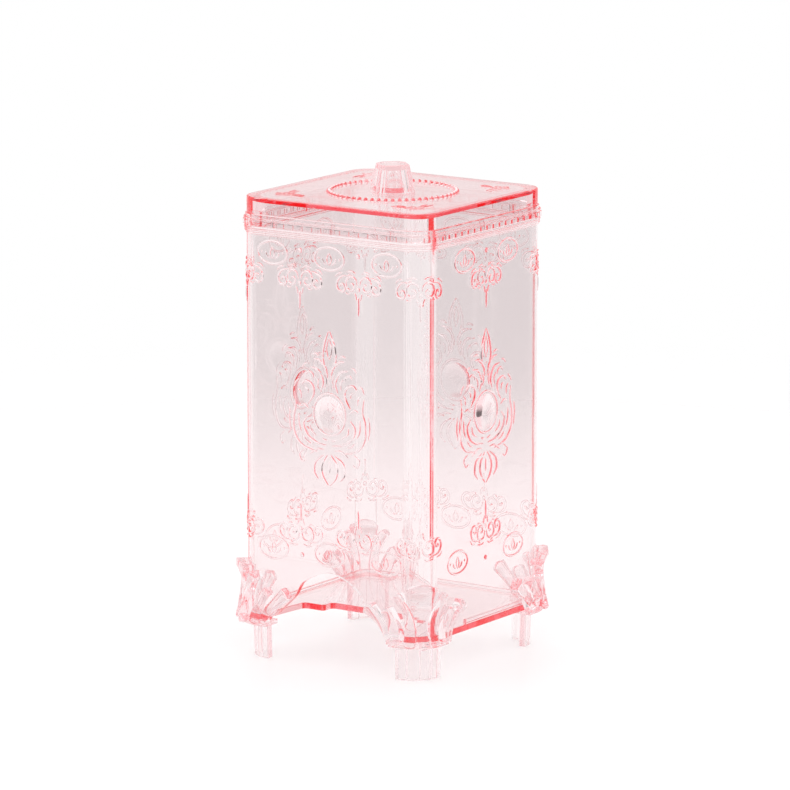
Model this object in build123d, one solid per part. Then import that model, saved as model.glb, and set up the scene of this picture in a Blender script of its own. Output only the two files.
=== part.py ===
# Footed pad box: square embossed walls, floor plate, four leaf-clasp feet and a lift-off lid with a knob.
# Millimetres. +Z is up, the legs stand on z = 0, the front (with the arch) faces -Y.
import os
from math import acos, cos, degrees, pi, radians, sin, sqrt

from build123d import *

# Walls
wall_width = 80.0  # outside width and depth
corner_radius = 9.2  # outside radius of the upright corners
inner_radius = 5.8  # and inside, tighter, so that the corners are thinner than the walls
wall = 2.0
wall_height = 144.9  # from the floor plate to the rim that the lid sits on

# Floor plate
plate_thickness = 2.2
locator_height = 1.5  # low rib that centres the walls
locator_thickness = 1.2
finger_mouth = 60.0  # width of the finger cut-out at the front edge
finger_throat = 55.2  # and at its shoulders
finger_depth = 23.7  # front edge to the shoulders
bay_width = 38.0  # deeper middle of the cut-out
bay_extra = 5.3  # how much deeper the middle goes
finger_round = 1.6

# Dispensing arch in the front wall
arch_height = 18.7  # floor to crown
arch_waist_height = 8.2  # floor to the narrowest point of the flared sides
arch_waist = 30.8  # width there
arch_shoulder_height = 14.4
arch_shoulder = 22.0
arch_mouth = 48.0  # width at the floor

# Collar: height and stand-off of each course, from the rim down
collar_courses = [
    (1.1, 0.5),
    (0.7, 1.1),
    (2.6, 0.75),
    (0.7, 1.0),
    (0.6, 0.6),
    (0.7, 0.8),
    (0.8, 0.3),
]

# Medallion on each wall. Blades are arcs (start, middle, end) from the cabochon's centre, on its right half.
relief = 0.8
medallion_height = 76.3  # floor to the cabochon's centre
cabochon_width = 12.0
cabochon_tall = 12.6
cabochon_step = 0.6
cabochon_relief = 1.6
cabochon_crown = 0.55  # share of its width that the crown keeps
cabochon_facets = 16
blade_width = 1.5
blades = [
    ((0.4, 13.2), (2.9, 20.5), (0.4, 29.8)),
    ((9.6, 1.2), (14.8, -3.6), (12.6, -10.6)),
    ((13.0, -11.6), (8.4, -15.6), (1.4, -14.4)),
]

# Lid
lid_height = 6.0
lid_plate = 2.0
lid_edge = 0.6  # bevel round the top
lip_depth = 4.5  # how far the lip reaches into the walls
lip_thickness = 1.3
lip_clearance = 0.4
lip_rib_width = 1.2
lip_rib_out = 0.2
lip_rib_spacing = 25.0
bead_ring_radius = 22.7
bead_radius = 0.8
bead_pitch = 2.65
bead_sides = 4
ring_band = 3.4  # flat band that carries the beads
ring_height = 0.3

# Knob
knob_height = 9.8
knob_base = 17.3
knob_top = 12.6
knob_flat_base = 14.8  # across the flats
knob_flat_top = 10.8
knob_wall = 1.7
knob_crown = 2.0
knob_round = 0.9
reeds = 3  # per arris
reed_depth = 0.45
boss_height = 1.7

# Feet
leg_height = 14.1  # underside of the floor plate above the table
leg_side = 12.3  # length of each arm of the angle leg at the top
leg_foot_side = 11.5  # and at the table
leg_inset = 1.2
leg_chamfer = 4.7  # flat across the leg's outer corner
leg_thickness = 3.2
flute_size = 0.8
flute_pitch = 2.6
flutes_per_arm = 2
pad_thickness = 1.6  # flange between the leg and the floor plate
pad_out = 2.0
pad_lip = 0.9  # flange inside the leg
clasp_drop = 0.8  # leaf bottoms below the floor plate's underside

# Leaves of a foot. run: place along the wall from the corner's diagonal. spine: heel, belly and tip as
# (sideways, height above the heel line). widths and outs (stand-off from the wall) follow the spine.
corner_leaf = dict(
    run=0.0,
    bent=False,
    spine=[(0, 0), (0, 10.5), (0, 20.4)],
    widths=(5.8, 7.2, 10.6),
    crown=1.3,
    outs=(4.0, 2.3, 5.0),
)
tall_leaf = dict(
    run=5.0,
    bent=True,
    spine=[(-2.2, 0.2), (-1.4, 9.5), (2.4, 17.0)],
    widths=(4.6, 3.8, 2.8),
    crown=1.2,
    outs=(3.6, 1.9, 3.8),
)
middle_leaf = dict(
    run=9.6,
    bent=True,
    spine=[(-2.2, 0.4), (-0.6, 6.0), (2.2, 11.2)],
    widths=(4.6, 4.8, 4.0),
    crown=1.2,
    outs=(3.2, 2.0, 3.6),
)
outer_leaf = dict(
    run=13.2,
    bent=True,
    spine=[(-3.4, 0.9), (1.0, 6.4), (6.8, 11.6)],
    widths=(4.8, 3.8, 4.8),
    crown=0.7,
    outs=(2.6, 1.6, 3.2),
)

# Fits
seam = 0.1  # glue line between pieces of the box
lid_seat = 0.1  # lid on the rim
boss_clearance = 0.15

# Heights and places worked out from the sizes above
half = wall_width / 2
plate_top = leg_height + plate_thickness
wall_foot = plate_top + seam
rim = wall_foot + wall_height
lid_bottom = rim + lid_seat
lid_top = lid_bottom + lid_height
plate_under = lid_top - lid_plate
corner_centre = half - corner_radius
knob_slope = (knob_flat_base - knob_flat_top) / 2 / knob_height
knob_mouth = knob_flat_base / 2 - knob_wall


def rounded(step):
    """Plan outline of the walls, moved outward by step."""
    width = wall_width + 2 * step
    return RectangleRounded(width, width, corner_radius + step)


def inside(step):
    """Plan outline of the space between the walls, moved outward by step."""
    width = wall_width - 2 * wall + 2 * step
    return RectangleRounded(width, width, inner_radius + step)


def prism(outline, bottom, top):
    return extrude(Pos(0, 0, bottom) * outline, top - bottom)


def outline_place(run):
    """Place on the (+X, +Y) corner, run along the wall from its diagonal: local X is out, local Y onward."""
    quarter = corner_radius * pi / 4
    turn = 45 + degrees(min(quarter, run) / corner_radius)
    beyond = max(0, run - quarter)
    return Pos(corner_centre, corner_centre) * Rot(0, 0, turn) * Pos(corner_radius, beyond)


def body_shell():
    shell = prism(rounded(0), wall_foot, rim)
    top = rim
    for height, out in collar_courses:
        shell += prism(rounded(out), top - height, top)
        top -= height
    shell -= prism(inside(0), wall_foot, rim)
    for quarter in range(4):
        shell += [Rot(0, 0, 90 * quarter) * piece for piece in wall_relief()]
    return shell - arch_cut()


def wall_relief():
    """Medallion of the front wall: domed cabochon in a wreath of pointed blades."""
    root = half - wall / 2
    wreath = []
    for start, middle, end in blades:
        start, middle, end = Vector(*start), Vector(*middle), Vector(*end)
        across = (end - start).normalized().rotate(Axis.Z, 90) * (blade_width / 2)
        arcs = [ThreePointArc(start, middle + across, end), ThreePointArc(end, middle - across, start)]
        blade = extrude(make_face(arcs), half + relief - root)
        wreath += [blade, mirror(blade, about=Plane.YZ)]
    wreath.append(extrude(facet_oval(1), half + cabochon_step - root))
    crown = Pos(0, 0, half + cabochon_relief - root) * facet_oval(cabochon_crown)
    wreath.append(loft([Pos(0, 0, half + cabochon_step - root) * facet_oval(1), crown], ruled=True))
    seat = Plane(origin=(0, -root, plate_top + medallion_height), x_dir=(1, 0, 0), z_dir=(0, -1, 0))
    return [seat * piece for piece in wreath]


def facet_oval(share):
    turns = [2 * pi * facet / cabochon_facets for facet in range(cabochon_facets)]
    wide, tall = share * cabochon_width / 2, share * cabochon_tall / 2
    return Polygon(*[(wide * cos(turn), tall * sin(turn)) for turn in turns], align=None)


def arch_cut():
    mouth = (arch_mouth / 2, wall_foot)
    waist = (arch_waist / 2, plate_top + arch_waist_height)
    shoulder = (arch_shoulder / 2, plate_top + arch_shoulder_height)
    crown = (0, plate_top + arch_height)
    right = [mouth, waist, shoulder, crown]
    left = [(-x, z) for x, z in reversed(right[:-1])]
    curve = Spline(*right, *left)
    face = make_face([curve, Line(left[-1], right[0])])
    return extrude(Plane.XZ.offset(half - 2 * wall) * face, 3 * wall)


def base_plate():
    front = -half
    plate = prism(rounded(0), leg_height, plate_top)
    ring = inside(-seam) - inside(-seam - locator_thickness)
    rear = Rectangle(wall_width, wall_width, align=(Align.CENTER, Align.MIN))
    ring &= Pos(0, front + finger_depth + bay_extra) * rear
    plate += prism(ring, plate_top, plate_top + locator_height)
    return plate - prism(finger_outline(front), leg_height, plate_top + locator_height)


def finger_outline(front):
    mouth = Polygon(
        (-finger_mouth / 2, front),
        (finger_mouth / 2, front),
        (finger_throat / 2, front + finger_depth),
        (-finger_throat / 2, front + finger_depth),
        align=None,
    )
    bay = Pos(0, front) * Rectangle(bay_width, finger_depth + bay_extra, align=(Align.CENTER, Align.MIN))
    outline = mouth + bay
    inner = outline.vertices().filter_by(lambda v: v.Y > front + finger_round)
    return fillet(inner, finger_round)


def lid_cover():
    lid = prism(rounded(0), lid_bottom, lid_top)
    lid = chamfer(lid.edges().group_by(Axis.Z)[-1], lid_edge)
    hollow = inside(-lip_clearance - lip_thickness)
    lid += prism(inside(-lip_clearance), lid_bottom - lip_depth, lid_bottom)
    lid -= prism(hollow, lid_bottom - lip_depth, plate_under)
    lid += lip_ribs()
    return lid + top_ring() + knob_boss()


def lip_ribs():
    face = half - wall - lip_clearance
    deep = lip_thickness / 2 + lip_rib_out
    rib = Box(deep, lip_rib_width, lip_depth, align=(Align.MAX, Align.CENTER, Align.MIN))
    rib = Pos(face + lip_rib_out, 0, lid_bottom - lip_depth) * rib
    places = [(side, spot) for side in range(4) for spot in (-1, 0, 1)]
    return [Rot(0, 0, 90 * side) * Pos(0, spot * lip_rib_spacing) * rib for side, spot in places]


def top_ring():
    count = round(2 * pi * bead_ring_radius / bead_pitch)
    bead = loft([RegularPolygon(bead_radius, bead_sides),
                 Pos(0, 0, bead_radius) * RegularPolygon(bead_radius / 2, bead_sides)], ruled=True)
    band = Circle(bead_ring_radius + ring_band / 2) - Circle(bead_ring_radius - ring_band / 2)
    pieces = [extrude(band, ring_height)]
    pieces += [Pos(0, 0, ring_height) * place * bead for place in PolarLocations(bead_ring_radius, count)]
    return [Pos(0, 0, lid_top) * piece for piece in pieces]


def knob_boss():
    radius = knob_mouth - boss_clearance
    return Pos(0, 0, lid_top) * Cone(radius, radius - knob_slope * boss_height, boss_height,
                                     align=(Align.CENTER, Align.CENTER, Align.MIN))


def lid_knob():
    rounded_top = knob_outline(knob_top - 2 * knob_round, knob_flat_top - 2 * knob_round)
    knob = loft(
        [
            knob_outline(knob_base, knob_flat_base),
            Pos(0, 0, knob_height - knob_round) * knob_outline(knob_top, knob_flat_top),
            Pos(0, 0, knob_height) * rounded_top,
        ],
        ruled=True,
    )
    deep = knob_height - knob_crown
    upright = (Align.CENTER, Align.CENTER, Align.MIN)
    knob -= Cone(knob_mouth, knob_mouth - knob_slope * deep, deep, align=upright)
    return Pos(0, 0, lid_top + seam) * knob


def knob_outline(diameter, across_flats):
    """Four flats towards the lid's corners with a reeded arris between each two."""
    edge = degrees(acos(across_flats / diameter))
    points = []
    for corner in range(4):
        for reed in range(2 * reeds + 1):
            turn = 90 * corner + (45 - edge) * (reed / reeds - 1)
            radius = diameter / 2 - reed_depth * (reed % 2)
            points.append((radius * cos(radians(turn)), radius * sin(radians(turn))))
    return Polygon(*points, align=None)


def leaf(shape):
    points = [Vector(*point) for point in shape["spine"]]
    spine = ThreePointArc(*points) if shape["bent"] else Line(points[0], points[-1])
    left, right = [], []
    for share, width in zip((0, 0.5, 1), shape["widths"]):
        across = (spine % share).rotate(Axis.Z, 90)
        left.append(spine @ share + across * (width / 2))
        right.append(spine @ share - across * (width / 2))
    tip = spine @ 1 + (spine % 1) * shape["crown"]
    heel = spine @ 0 - (spine % 0) * shape["crown"]
    edges = [ThreePointArc(*left), ThreePointArc(left[-1], tip, right[-1])]
    edges += [ThreePointArc(*reversed(right)), ThreePointArc(right[0], heel, left[0])]
    low, mid, high = shape["outs"]
    inside, top = -corner_radius / 2, tip.Y
    outer = ThreePointArc((low, heel.Y), (mid, points[1].Y), (high, top))
    back = Polyline(outer @ 1, (inside, top), (inside, heel.Y), outer @ 0)
    reach = 2 * (points[2] - points[0]).length
    front_view = extrude(Plane.YZ * make_face(edges), 2 * high, both=True)
    side_view = extrude(Plane.XZ * make_face([outer, back]), reach, both=True)
    foot = leg_height - clasp_drop + shape["crown"] / 2
    return Pos(0, 0, foot) * outline_place(shape["run"]) * (front_view & side_view)


def foot_piece():
    """Foot of the (+X, +Y) corner."""
    diagonal = Plane(origin=(0, 0, 0), z_dir=(1, -1, 0))
    clasp = leaf(corner_leaf)
    for shape in (tall_leaf, middle_leaf, outer_leaf):
        side = leaf(shape)
        clasp += [side, mirror(side, about=diagonal)]
    flange_top = leg_height - seam
    inner_width = wall_width - 2 * (leg_inset + leg_thickness + pad_lip)
    reach = leg_side + leg_inset + pad_out
    flange = rounded(pad_out) & corner_square(reach, half + pad_out)
    flange -= Rectangle(inner_width, inner_width)
    foot = clasp - prism(rounded(seam), flange_top, rim)
    foot += prism(flange, flange_top - pad_thickness, flange_top)
    return foot + angle_leg(flange_top - pad_thickness)


def corner_square(side, corner):
    return Pos(corner, corner) * Rectangle(side, side, align=(Align.MAX, Align.MAX))


def angle_outline(side):
    """Angle with a flat across its corner, the same thickness all along."""
    outer = half - leg_inset
    inner = outer - leg_thickness
    inner_chamfer = leg_chamfer - leg_thickness * (2 - sqrt(2))
    arm = [(outer - side, outer), (outer - leg_chamfer, outer)]
    inner_arm = [(inner - inner_chamfer, inner), (outer - side, inner)]
    mirrored = [(y, x) for x, y in reversed(arm)]
    inner_mirrored = [(y, x) for x, y in reversed(inner_arm)]
    return Polygon(*arm, *mirrored, *inner_mirrored, *inner_arm, align=None)


def angle_leg(top):
    leg = loft([angle_outline(leg_foot_side), Pos(0, 0, top) * angle_outline(leg_side)], ruled=True)
    outer = half - leg_inset
    groove = Rot(0, 0, 45) * Box(flute_size, flute_size, top, align=(Align.CENTER, Align.CENTER, Align.MIN))
    grooves = []
    for step in range(flutes_per_arm):
        along = outer - leg_chamfer - flute_pitch * (step + 0.5)
        grooves.append(Pos(outer, along) * groove)
        grooves.append(Pos(along, outer) * groove)
    return leg - grooves


os.makedirs("parts", exist_ok=True)
foot = foot_piece()
pieces = {
    "body_shell": body_shell(),
    "base_plate": base_plate(),
    "rear_right_foot": foot,
    "rear_left_foot": Rot(0, 0, 90) * foot,
    "front_left_foot": Rot(0, 0, 180) * foot,
    "front_right_foot": Rot(0, 0, 270) * foot,
    "lid_cover": lid_cover(),
    "lid_knob": lid_knob(),
}
for name, piece in pieces.items():
    export_step(piece, f"parts/{name}.step")
    print(name, round(piece.volume), "mm3", len(piece.solids()), "solid")
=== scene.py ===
import math

import bmesh
import bpy
import numpy as np
from mathutils import Matrix, Vector
from mathutils.geometry import delaunay_2d_cdt


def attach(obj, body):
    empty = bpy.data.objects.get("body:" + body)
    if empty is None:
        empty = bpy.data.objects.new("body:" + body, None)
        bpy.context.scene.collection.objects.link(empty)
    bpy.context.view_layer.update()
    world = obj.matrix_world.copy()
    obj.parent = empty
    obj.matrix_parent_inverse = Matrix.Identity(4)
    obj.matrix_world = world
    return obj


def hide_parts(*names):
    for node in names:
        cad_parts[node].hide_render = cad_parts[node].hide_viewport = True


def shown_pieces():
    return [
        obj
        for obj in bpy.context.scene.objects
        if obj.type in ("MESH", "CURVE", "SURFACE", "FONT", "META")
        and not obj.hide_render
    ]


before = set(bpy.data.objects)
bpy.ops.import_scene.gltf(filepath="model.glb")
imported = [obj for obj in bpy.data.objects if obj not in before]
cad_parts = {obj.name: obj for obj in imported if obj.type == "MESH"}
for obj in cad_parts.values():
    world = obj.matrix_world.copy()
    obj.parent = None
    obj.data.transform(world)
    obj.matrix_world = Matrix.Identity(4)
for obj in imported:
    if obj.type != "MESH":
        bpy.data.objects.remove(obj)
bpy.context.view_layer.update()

mm = 0.001
print("frame loaded:", sorted(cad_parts))


# shader maths: a wrapped socket, so that expressions add their own Math nodes
class Sock:
    def __init__(self, tree, socket=None):
        self.tree, self.socket = tree, socket

    def node(self, kind, settings=None, out=0, **values):
        made = self.tree.nodes.new(kind)
        for key, value in (settings or {}).items():
            setattr(made, key, value)
        for key, value in values.items():  # i0, i1 and so on name a socket by its number
            numbered = key[0] == "i" and key[1:].isdigit()
            slot = made.inputs[int(key[1:]) if numbered else key.replace("_", " ")]
            if isinstance(value, Sock):
                self.tree.links.new(value.socket, slot)
            else:
                slot.default_value = value
        return Sock(self.tree, made.outputs[out] if len(made.outputs) else None)

    def maths(self, operation, a, b=0.0):
        return self.node("ShaderNodeMath", {"operation": operation}, i0=a, i1=b)

    def __add__(self, other):
        return self.maths("ADD", self, other)

    def __radd__(self, other):
        return self.maths("ADD", other, self)

    def __sub__(self, other):
        return self.maths("SUBTRACT", self, other)

    def __rsub__(self, other):
        return self.maths("SUBTRACT", other, self)

    def __mul__(self, other):
        return self.maths("MULTIPLY", self, other)

    def __rmul__(self, other):
        return self.maths("MULTIPLY", other, self)

    def __pow__(self, other):
        return self.maths("POWER", self, other)

    def __rpow__(self, other):
        return self.maths("POWER", other, self)


def emptyNodes(holder):  # cleared node tree of a material or a world
    holder.use_nodes = True
    holder.node_tree.nodes.clear()
    return Sock(holder.node_tree)


def newObject(name, data):
    thing = bpy.data.objects.new(name, data)
    bpy.context.scene.collection.objects.link(thing)
    return thing


# clear pink moulded plastic
pinkPlastic = dict(
    tint=(0.975, 0.971, 0.971, 1), cloud=(0.955, 0.948, 0.949, 1), ior=1.59, gloss=0.5,
    soak=(0.995, 0.08, 0.16, 1), soakDensity=25.0, footDensity=19.0,
    rough=0.012, haze=0.05, hazePower=3.0, rubStretch=(900.0, 900.0, 60.0), rubDetail=2.0,
    cloudScale=38.0, cloudDetail=3.0, cloudRough=0.55, waveScale=55.0, waveDetail=1.0, waveDepth=0.00006,
)


def makePinkPlastic(name, density):
    p = pinkPlastic
    material = bpy.data.materials.new(name)
    s = emptyNodes(material)
    place = s.node("ShaderNodeTexCoord", out="Object")
    cloud = s.node("ShaderNodeTexNoise", Vector=place, Scale=p["cloudScale"], Detail=p["cloudDetail"],
                   Roughness=p["cloudRough"])
    wave = s.node("ShaderNodeTexNoise", Vector=place, Scale=p["waveScale"], Detail=p["waveDetail"])
    stretch = s.node("ShaderNodeMapping", Vector=place, Scale=p["rubStretch"])
    rub = s.node("ShaderNodeTexNoise", Vector=stretch, Scale=1.0, Detail=p["rubDetail"])
    colour = s.node("ShaderNodeMix", {"data_type": "RGBA"}, out=2, i0=cloud, i6=p["tint"], i7=p["cloud"])
    rough = p["rough"] + (cloud ** p["hazePower"]) * rub * p["haze"]
    bump = s.node("ShaderNodeBump", Height=wave, Strength=1.0, Distance=p["waveDepth"])
    shader = s.node("ShaderNodeBsdfPrincipled", Base_Color=colour, Roughness=rough, Normal=bump, IOR=p["ior"],
                    Transmission_Weight=1.0, Specular_IOR_Level=p["gloss"])
    inside = s.node("ShaderNodeVolumeAbsorption", Color=p["soak"], Density=density)
    s.node("ShaderNodeOutputMaterial", Surface=shader, Volume=inside)
    return material


plastic = makePinkPlastic("clearPinkPlastic", pinkPlastic["soakDensity"])
palePlastic = makePinkPlastic("palePinkPlastic", pinkPlastic["footDensity"])
print("plastic ready")


# mesh helpers, in mm
def meshObject(name, points, faces, sharpAngle=50.0, flats=None):
    mesh = bpy.data.meshes.new(name)
    corners = [tuple(float(c) * mm for c in p) for p in points]
    mesh.from_pydata(corners, [], [tuple(int(i) for i in f) for f in faces])
    mesh.polygons.foreach_set("use_smooth", [True] * len(mesh.polygons))
    mesh.set_sharp_from_angle(angle=math.radians(sharpAngle))
    if flats is not None:
        mesh.polygons.foreach_set("use_smooth", [not flat for flat in flats])
    mesh.validate()
    mesh.materials.append(plastic)
    return newObject(name, mesh)


def weld(points, faces, flats, grid=2e-3):
    keys, slim, index = {}, [], []
    for p in points:
        key = tuple(int(round(c / grid)) for c in p)
        if key not in keys:
            keys[key] = len(slim)
            slim.append(p)
        index.append(keys[key])
    kept, keptFlats = [], []
    for face, flat in zip(faces, flats):
        corners = []
        for i in face:
            if index[i] not in corners:
                corners.append(index[i])
        if len(corners) >= 3:
            kept.append(corners)
            keptFlats.append(flat)
    return slim, kept, keptFlats


def openEdges(faces):
    seen = {}
    for face in faces:
        for a, b in zip(face, face[1:] + face[:1]):
            pair = (min(a, b), max(a, b))
            seen[pair] = seen.get(pair, 0) + 1
    return sum(1 for n in seen.values() if n != 2)


def freeze(thing):
    bpy.context.view_layer.update()
    mesh = bpy.data.meshes.new_from_object(thing.evaluated_get(bpy.context.evaluated_depsgraph_get()))
    thing.modifiers.clear()
    old, thing.data = thing.data, mesh
    bpy.data.meshes.remove(old)
    return thing


def smoothShade(thing, angle):
    thing.data.polygons.foreach_set("use_smooth", [True] * len(thing.data.polygons))
    thing.data.set_sharp_from_angle(angle=math.radians(angle))


def flatsFirst(thing, angle):  # big flat faces keep their own normal
    smoothShade(thing, angle)
    level = thing.modifiers.new("level", "WEIGHTED_NORMAL")
    level.mode, level.weight, level.keep_sharp = "FACE_AREA", 100, True
    return freeze(thing)


# embossing: strokes and domes on a flat (along, up) sheet
embossing = dict(step=0.55, fineSteps=24, taper=0.3, shares=(1.0, 0.55), domeShares=(1.0, 0.82, 0.55, 0.28),
                 margin=0.95, shoulder=0.6, reach=0.1, flush=1e-4, merge=1e-3,
                 pathLeast=3, ringLeast=16, domeLeast=8)


def pathThrough(points):
    p = np.array(points, float)
    p = np.vstack([2 * p[0] - p[1], p, 2 * p[-1] - p[-2]])
    fine = []
    for i in range(len(p) - 3):
        a, b, c, d = p[i:i + 4]
        bend, twist = 2 * a - 5 * b + 4 * c - d, 3 * b - a - 3 * c + d
        for t in np.linspace(0, 1, embossing["fineSteps"], endpoint=False):
            fine.append(0.5 * (2 * b + (c - a) * t + bend * t * t + twist * t ** 3))
    fine.append(p[-2])
    fine = np.array(fine)
    run = np.r_[0, np.cumsum(np.hypot(*np.diff(fine, axis=0).T))]
    count = max(embossing["pathLeast"], int(round(run[-1] / embossing["step"])) + 1)
    places = np.linspace(0, run[-1], count)
    return np.column_stack([np.interp(places, run, fine[:, 0]), np.interp(places, run, fine[:, 1])])


def stroke(points, width, high, ends=(0.3, 0.3)):
    path = pathThrough(points)
    t = np.linspace(0, 1, len(path))
    taper = embossing["taper"]
    swell = np.interp(t, [0, taper, 1 - taper, 1], [ends[0], 1, 1, ends[1]])
    top = high * np.sqrt(swell)
    top[[0, -1]] = 0.0
    return dict(kind="stroke", path=path, half=width / 2 * swell, high=top, closed=False)


def ring(cx, cz, rx, rz, width, high):
    count = max(embossing["ringLeast"], int(2 * math.pi * max(rx, rz) / embossing["step"])) + 1
    turn = np.linspace(0, 2 * math.pi, count)
    path = np.column_stack([cx + rx * np.cos(turn), cz + rz * np.sin(turn)])
    half, top = np.full(count, width / 2), np.full(count, high)
    return dict(kind="stroke", path=path, half=half, high=top, closed=True)


def dome(cx, cz, rx, rz, high):
    return dict(kind="dome", at=(cx, cz), radii=(rx, rz), high=high)


def shifted(marks, dx, dz, flip=1.0, mirror=1.0, stretch=1.0):
    moved = []
    for m in marks:
        m = dict(m)
        if m["kind"] == "stroke":
            m["path"] = m["path"] * (mirror * stretch, flip) + (dx, dz)
        else:
            m["at"] = (m["at"][0] * mirror * stretch + dx, m["at"][1] * flip + dz)
        moved.append(m)
    return moved


def bothSides(marks):
    return marks + shifted(marks, 0, 0, mirror=-1.0)


def strokeLines(m):
    path, half = m["path"], m["half"]
    if m["closed"]:
        ahead = np.roll(path[:-1], -1, axis=0) - np.roll(path[:-1], 1, axis=0)
        ahead = np.vstack([ahead, ahead[:1]])
    else:
        ahead = np.gradient(path, axis=0)
    ahead /= np.maximum(np.hypot(ahead[:, 0], ahead[:, 1])[:, None], 1e-9)
    across = np.column_stack([-ahead[:, 1], ahead[:, 0]])
    lines = [path]
    for share in embossing["shares"]:
        aside = across * (half * share)[:, None]
        left, right = path + aside, path - aside
        if m["closed"]:
            lines += [left, right]
        elif share == 1.0:
            lines.append(np.vstack([left, right[::-1], left[:1]]))
        else:
            lines += [left[1:-1], right[1:-1]]
    return lines


def domeLines(m):
    (rx, rz), lines = m["radii"], []
    for share in embossing["domeShares"]:
        count = int(2 * math.pi * max(rx, rz) * share / embossing["step"])
        count = max(embossing["domeLeast"], count)
        t = np.linspace(0, 2 * math.pi, count + 1)
        x, z = rx * share * np.cos(t), rz * share * np.sin(t)
        lines.append(np.column_stack([m["at"][0] + x, m["at"][1] + z]))
    return lines


def markLines(marks):
    lines = []
    for m in marks:
        lines += strokeLines(m) if m["kind"] == "stroke" else domeLines(m)
    return lines


def heights(points, marks):
    high = np.zeros(len(points))
    margin = embossing["margin"]
    for m in marks:
        if m["kind"] == "dome":
            d = (points - m["at"]) / m["radii"]
            q = np.hypot(d[:, 0], d[:, 1])
            high = np.maximum(high, m["high"] * np.sqrt(np.clip(1 - (q / margin) ** 2, 0, None)))
            continue
        a, b = m["path"][:-1], m["path"][1:]
        reach = m["half"].max() + embossing["reach"]
        low, top = m["path"].min(0) - reach, m["path"].max(0) + reach
        near = np.nonzero(((points > low) & (points < top)).all(1))[0]
        if not len(near):
            continue
        p = points[near][:, None, :]
        along = b - a
        t = np.clip(((p - a) * along).sum(2) / np.maximum((along ** 2).sum(1), 1e-12), 0, 1)
        gap = p - (a + along * t[..., None])
        gap = np.hypot(gap[..., 0], gap[..., 1])
        half = m["half"][:-1] + (m["half"][1:] - m["half"][:-1]) * t
        top = m["high"][:-1] + (m["high"][1:] - m["high"][:-1]) * t
        rise = (top * np.clip(1 - (gap / (half * margin)) ** 2, 0, None) ** embossing["shoulder"]).max(1)
        high[near] = np.maximum(high[near], rise)
    high[high < embossing["flush"]] = 0.0
    return high


def triangulate(lines):
    points, edges = [], []
    for line in lines:
        start = len(points)
        closed = len(line) > 3 and np.allclose(line[0], line[-1])
        rows = line[:-1] if closed else line
        points += [Vector((float(x), float(z))) for x, z in rows]
        edges += [(start + i, start + i + 1) for i in range(len(rows) - 1)]
        if closed:
            edges.append((start + len(rows) - 1, start))
    out = delaunay_2d_cdt(points, edges, [], 0, embossing["merge"])
    flat = np.array([tuple(v) for v in out[0]])
    tris = np.array([f for f in out[2] if len(f) == 3])
    a, b, c = flat[tris[:, 0]], flat[tris[:, 1]], flat[tris[:, 2]]
    area = (b[:, 0] - a[:, 0]) * (c[:, 1] - a[:, 1]) - (b[:, 1] - a[:, 1]) * (c[:, 0] - a[:, 0])
    tris[area < 0] = tris[area < 0][:, ::-1]
    return flat, tris


def insideOutline(points, outline):
    hit = np.zeros(len(points), bool)
    for (x0, z0), (x1, z1) in zip(outline, np.roll(outline, -1, axis=0)):
        cross = ((z0 > points[:, 1]) != (z1 > points[:, 1]))
        at = x0 + (points[:, 1] - z0) * (x1 - x0) / (z1 - z0 if z1 != z0 else 1e-12)
        hit ^= cross & (points[:, 0] < at)
    return hit


# ornament motifs, drawn about their own middle
ornament = dict(line=1.0, fine=0.72, thin=0.6, hair=0.55, high=0.55, lowHigh=0.4,
                drop=0.85, bud=(0.7, 0.9), budHigh=0.5, dot=0.95, dotHigh=0.75)
plaque = dict(oval=(6.3, 4.1), rim=0.9, dotAt=4.5, dot=0.45, dotHigh=0.3, sideLeaf=0.7)
medal = dict(rim=(7.0, 7.5), rimWide=0.8, dome=(6.1, 6.5), domeHigh=1.2, stem=0.9)


def scrollPair():
    o = ornament
    w, f, h, low = o["line"], o["fine"], o["high"], o["lowHigh"]
    innerCurl = [(0.5, 0.2), (1.1, 2.4), (3.0, 3.4), (4.9, 2.4), (5.3, 0.2),
                 (4.2, -1.5), (2.6, -1.5), (1.9, -0.2), (2.6, 0.9), (3.6, 0.5)]
    outerCurl = [(4.6, 3.5), (6.6, 3.3), (8.5, 2.2), (9.3, 0.2), (8.6, -1.8),
                 (6.9, -2.3), (5.9, -1.2), (6.3, 0.2), (7.5, 0.4), (7.8, -0.5)]
    right = [
        stroke(innerCurl, w, h, (0.4, 0.7)),
        stroke(outerCurl, w, h, (0.3, 0.7)),
        stroke([(1.0, 4.4), (2.8, 5.2), (5.2, 4.8)], f, low),
        stroke([(6.6, 4.4), (8.6, 4.0), (10.0, 2.6)], f, low),
        stroke([(3.0, 4.4), (4.0, 4.1), (4.6, 3.4)], o["thin"], low),
        stroke([(1.6, -2.2), (1.1, -3.6), (0.7, -5.2)], f, low),
        stroke([(3.4, -2.5), (4.6, -3.0), (5.6, -2.4)], o["thin"], low),
    ]
    drop = stroke([(0, -3.8), (0, -6.6), (0, -10.6)], o["drop"], h, (0.7, 0.3))
    return bothSides(right) + [drop, dome(0, -1.2, *o["bud"], o["budHigh"])]


def ovalPlaque():
    q, low = plaque, ornament["lowHigh"]
    dot = dome(q["dotAt"], 0, q["dot"], q["dot"], q["dotHigh"])
    leafSide = [stroke([(0.1, -2.3), (0.95, -0.2), (0.1, 2.2)], ornament["hair"], low),
                stroke([(0.9, -2.2), (2.2, -1.3), (3.0, 0.3)], q["sideLeaf"], low)]
    return [ring(0, 0, *q["oval"], q["rim"], low)] + bothSides([dot]) + bothSides(leafSide)


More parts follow.
